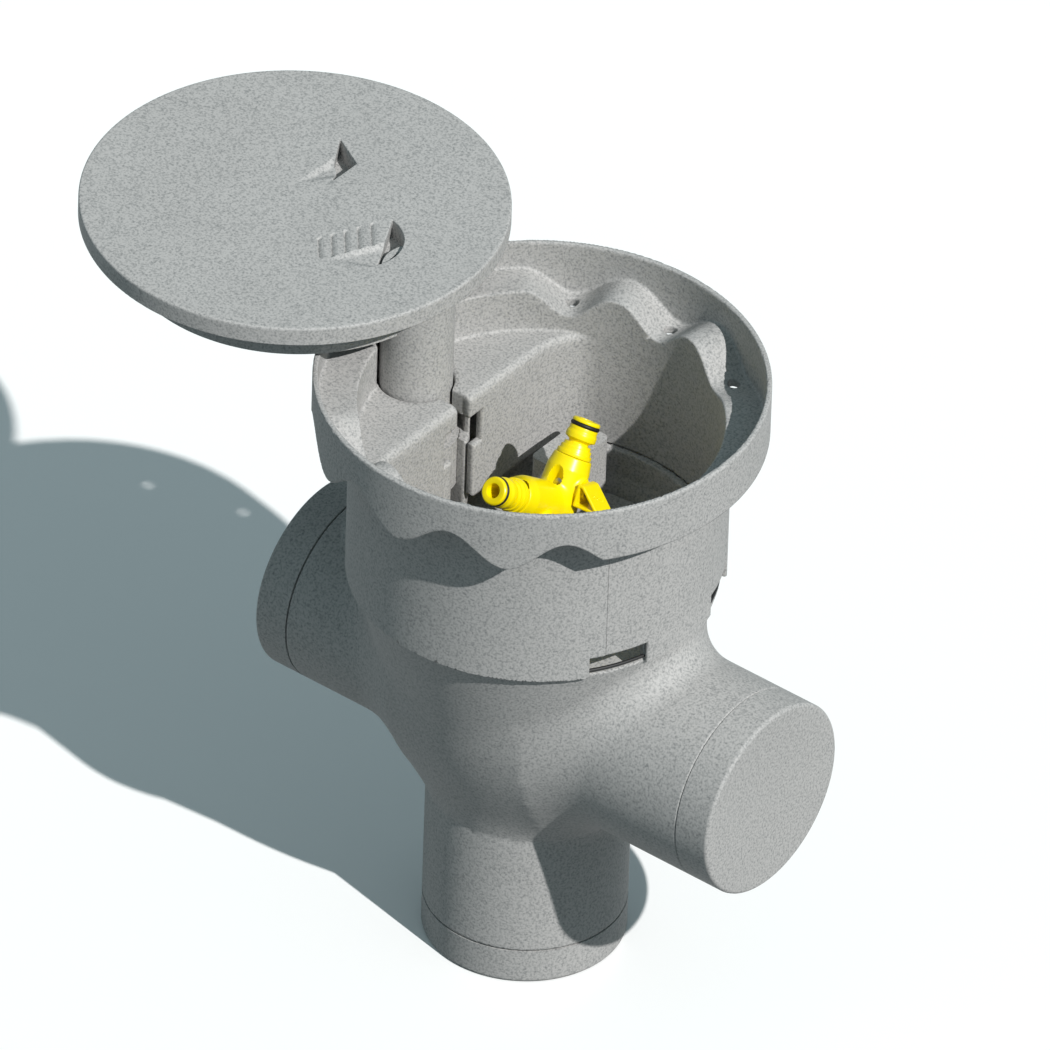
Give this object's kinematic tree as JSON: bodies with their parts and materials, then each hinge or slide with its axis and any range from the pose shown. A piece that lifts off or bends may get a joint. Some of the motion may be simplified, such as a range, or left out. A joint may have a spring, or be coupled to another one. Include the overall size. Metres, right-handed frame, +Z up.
{
  "type": "garden water socket",
  "caption": "Below-ground garden water socket: stub-piped base, bowl with wavy gutter, hose coupling with shut-off levers, and a round lid that lifts and swings on a post.",
  "frame": {"origin": "centre of the bottom cap's end face, on the bowl's axis", "axes": "+Z up along the bowl's axis, +X along the through pipe, away from the lid's post"},
  "size_m": [0.4453, 0.242, 0.3965],
  "materials": {
    "grey_plastic": "fine grain, matt",
    "yellow_plastic": "glossy",
    "black_rubber": "matt",
    "black_plastic": "satin",
    "steel": "satin",
    "brass": "turned",
    "white_plastic": "smooth"
  },
  "bodies": {
    "housing": {"lower_body": "grey_plastic", "upper_shell": "grey_plastic", "end_cap_right": "grey_plastic", "end_cap_left": "grey_plastic", "end_cap_bottom": "grey_plastic", "cap_seal_right": "black_rubber", "cap_seal_left": "black_rubber", "cap_seal_bottom": "black_rubber", "shell_seal": "black_rubber", "floor_plate": "grey_plastic", "plate_screws": "steel", "valve_body": "yellow_plastic", "flange_gasket": "black_rubber", "lock_nut": "yellow_plastic", "nipple_a": "yellow_plastic", "nipple_b": "yellow_plastic", "o_ring_a": "black_rubber", "o_ring_b": "black_rubber", "seats_a": "white_plastic", "seats_b": "white_plastic", "stem_seal_a": "black_rubber", "stem_seal_b": "black_rubber", "supply_coupling": "black_plastic", "clamp_nut": "black_plastic", "grip_ring": "white_plastic", "pipe_seal": "black_rubber"},
    "guide": {"guide_bush": "grey_plastic"},
    "lid": {"lid_cover": "grey_plastic", "lid_base": "grey_plastic", "lid_post": "grey_plastic", "post_lug": "grey_plastic", "foot_plug": "black_plastic", "lid_screws": "steel", "post_screws": "steel"},
    "shutoff_a": {"ball_a": "steel", "stem_a": "brass", "lever_a": "yellow_plastic", "lever_screw_a": "steel"},
    "shutoff_b": {"ball_b": "steel", "stem_b": "brass", "lever_b": "yellow_plastic", "lever_screw_b": "steel"}
  },
  "joints": [
    {"name": "lid_swing", "type": "hinge", "parent": "housing", "child": "guide", "pos_m": [-0.0844, 0, 0.27], "axis": [0, 0, 1], "range_deg": [0, 180]},
    {"name": "lid_lift", "type": "slide", "parent": "guide", "child": "lid", "axis": [0, 0, 1], "range_m": [0, 0.0095]},
    {"name": "lever_a_turn", "type": "hinge", "parent": "housing", "child": "shutoff_a", "pos_m": [0.0101, 0.00797, 0.29324], "axis": [0.9962, 0.0872, 0], "range_deg": [0, 90]},
    {"name": "lever_b_turn", "type": "hinge", "parent": "housing", "child": "shutoff_b", "pos_m": [0.00962, -0.01614, 0.29476], "axis": [0.7923, -0.3962, -0.464], "range_deg": [0, 90]}
  ]
}
